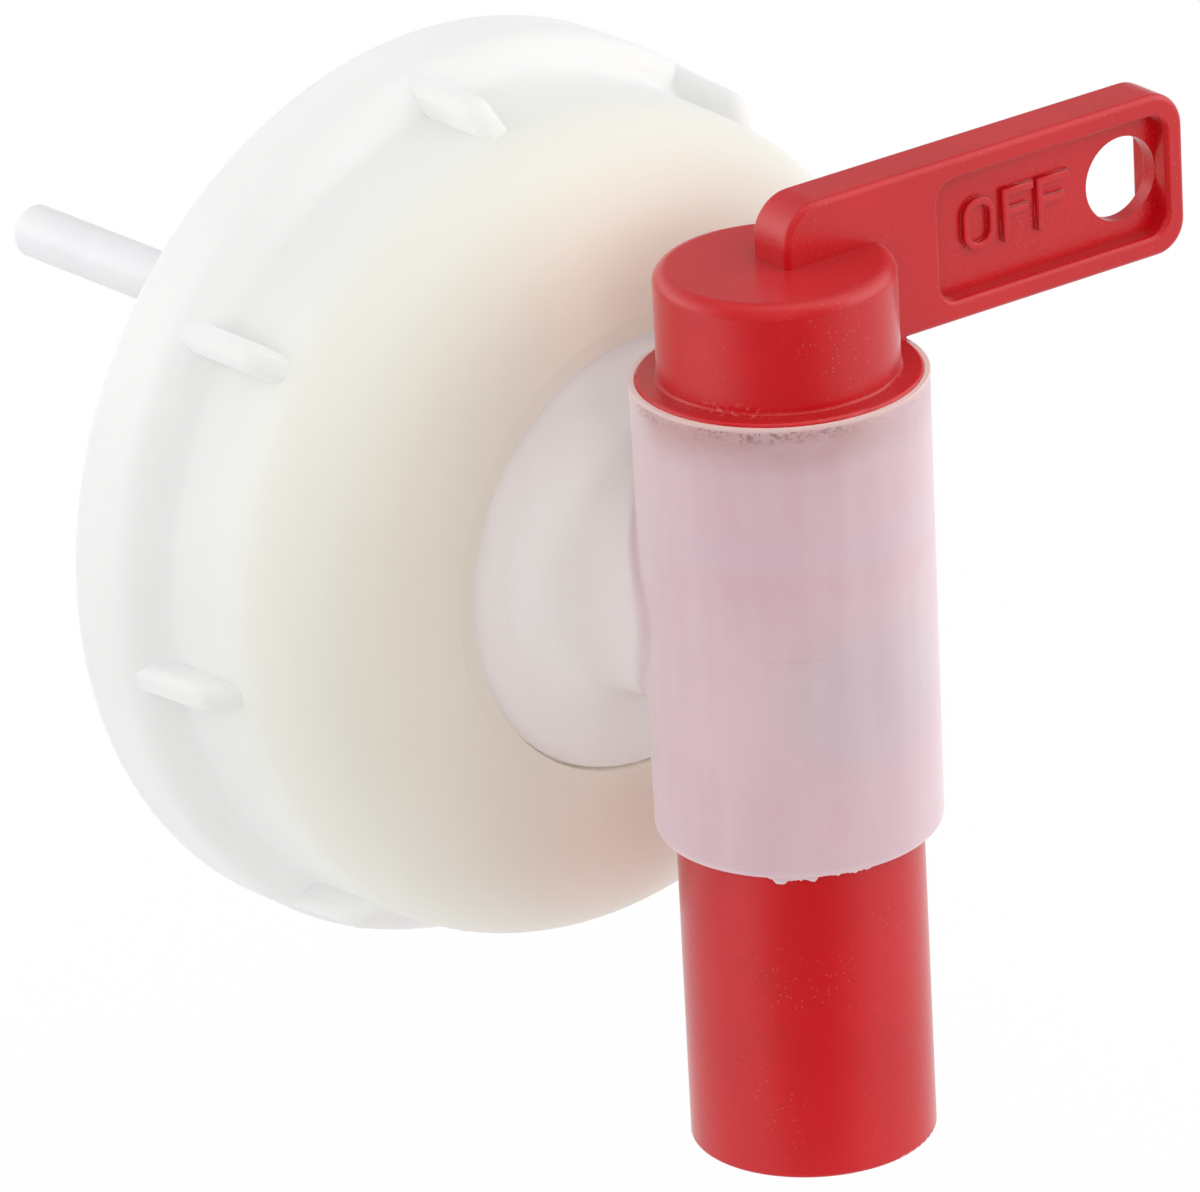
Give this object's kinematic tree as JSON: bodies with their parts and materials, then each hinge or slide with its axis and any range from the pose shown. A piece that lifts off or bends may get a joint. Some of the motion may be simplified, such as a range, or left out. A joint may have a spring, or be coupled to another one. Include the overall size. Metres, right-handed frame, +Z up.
{
  "type": "drum tap",
  "caption": "Vented drum tap: ribbed screw cap, translucent body with upright barrel, and a red lever plug whose hollow spout opens and shuts the flow.",
  "frame": {"origin": "on the cap's axis, in the plane where the gasket meets the drum's neck", "axes": "+Y along the cap's axis into the drum, -Y the tap's front, +Z up along the plug's axis, towards the lever"},
  "size_m": [0.0735, 0.1019, 0.0792],
  "materials": {
    "cap_plastic": "natural milky polyethylene, satin",
    "body_plastic": "translucent milky polyethylene, satin, grimy at the top edge",
    "plug_plastic": "red polyethylene, satin",
    "tube_plastic": "white polyethylene, satin",
    "gasket_rubber": "pale sealing rubber, matt"
  },
  "bodies": {
    "tap": {"tap_body": "body_plastic", "vent_tube": "tube_plastic", "neck_gasket": "gasket_rubber"},
    "plug": {"tap_plug": "plug_plastic"},
    "cap": {"screw_cap": "cap_plastic"}
  },
  "joints": [
    {"name": "plug_turn", "type": "hinge", "parent": "tap", "child": "plug", "pos_m": [0, -0.02391, 0], "axis": [0, 0, -1], "range_deg": [-4.44, 175.56]},
    {"name": "cap_turn", "type": "hinge", "parent": "tap", "child": "cap", "pos_m": [0, 0, 0], "axis": [0, 1, 0], "continuous": true}
  ]
}
